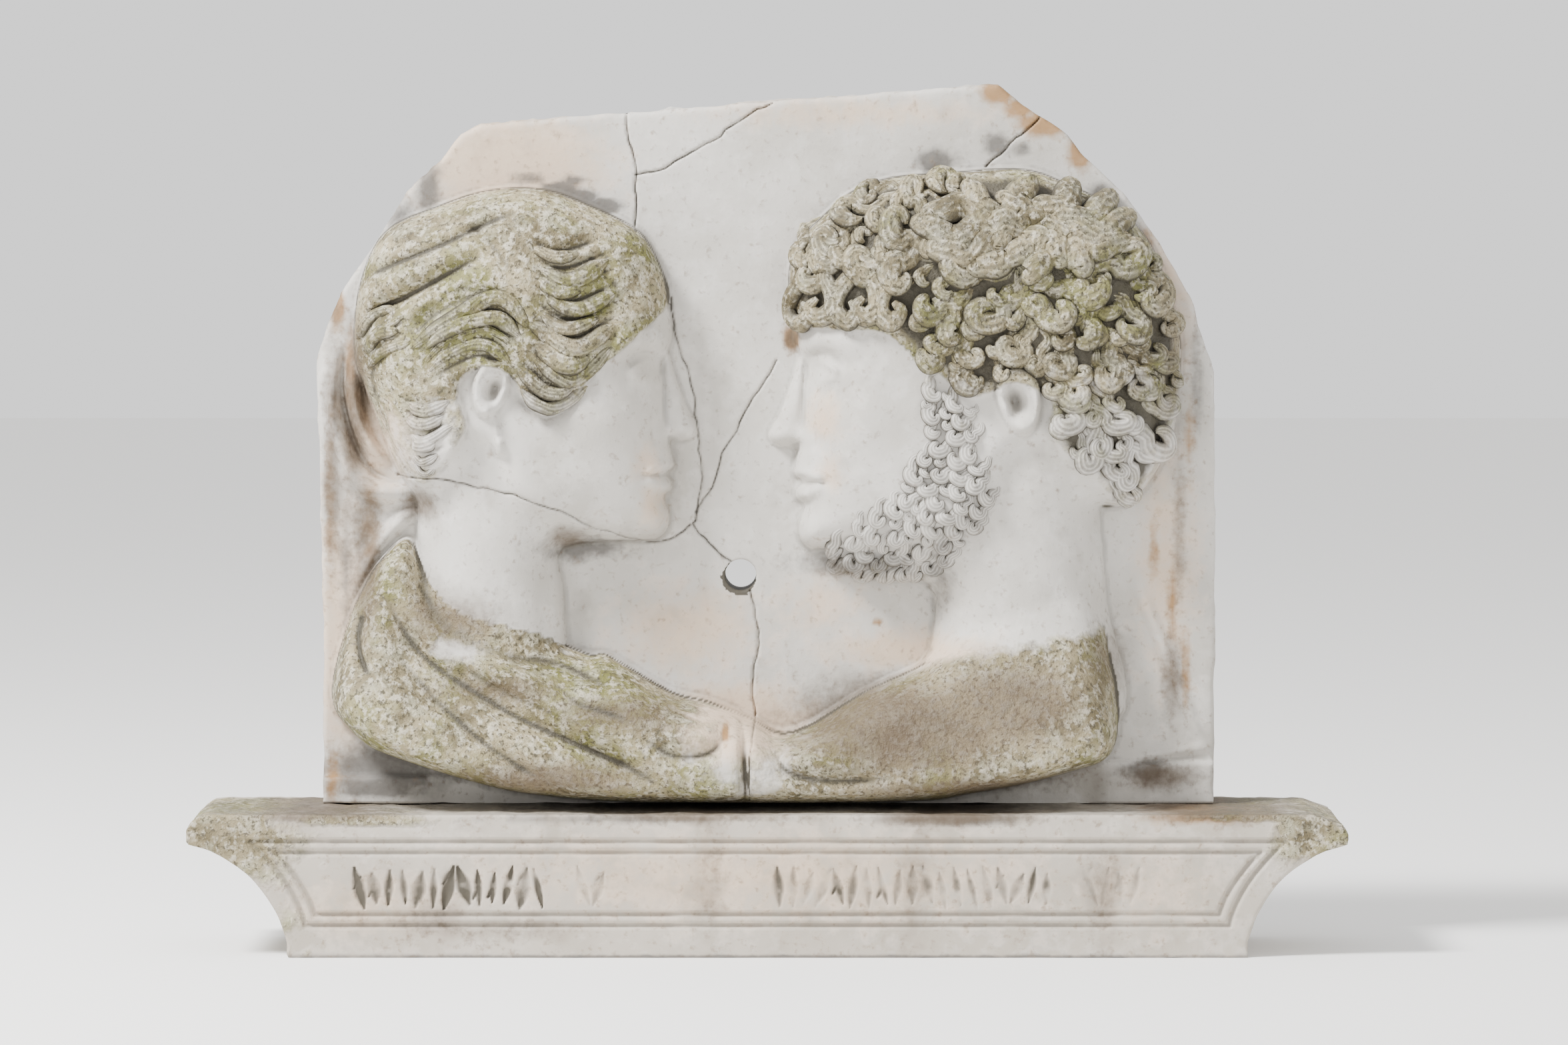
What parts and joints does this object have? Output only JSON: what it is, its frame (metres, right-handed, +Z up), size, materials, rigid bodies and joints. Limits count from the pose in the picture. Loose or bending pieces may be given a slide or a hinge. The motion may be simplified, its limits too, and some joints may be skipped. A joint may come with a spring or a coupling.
{
  "type": "marble relief plaque",
  "caption": "Broken and rejoined marble slab carved in high relief with two facing busts, standing on a long moulded marble base with hollow ends.",
  "frame": {"origin": "middle of the base's underside", "axes": "+Z up, the carved front faces -Y, +X to the viewer's right along the base"},
  "size_m": [0.858, 0.148, 0.6443],
  "materials": {
    "carved_marble": "weathered white marble, smooth faces, lichen-grown hair and cloth",
    "base_marble": "weathered warm grey marble with lichen at both ends"
  },
  "bodies": {
    "root": {"relief_slab": "carved_marble", "moulded_base": "base_marble"}
  },
  "joints": []
}
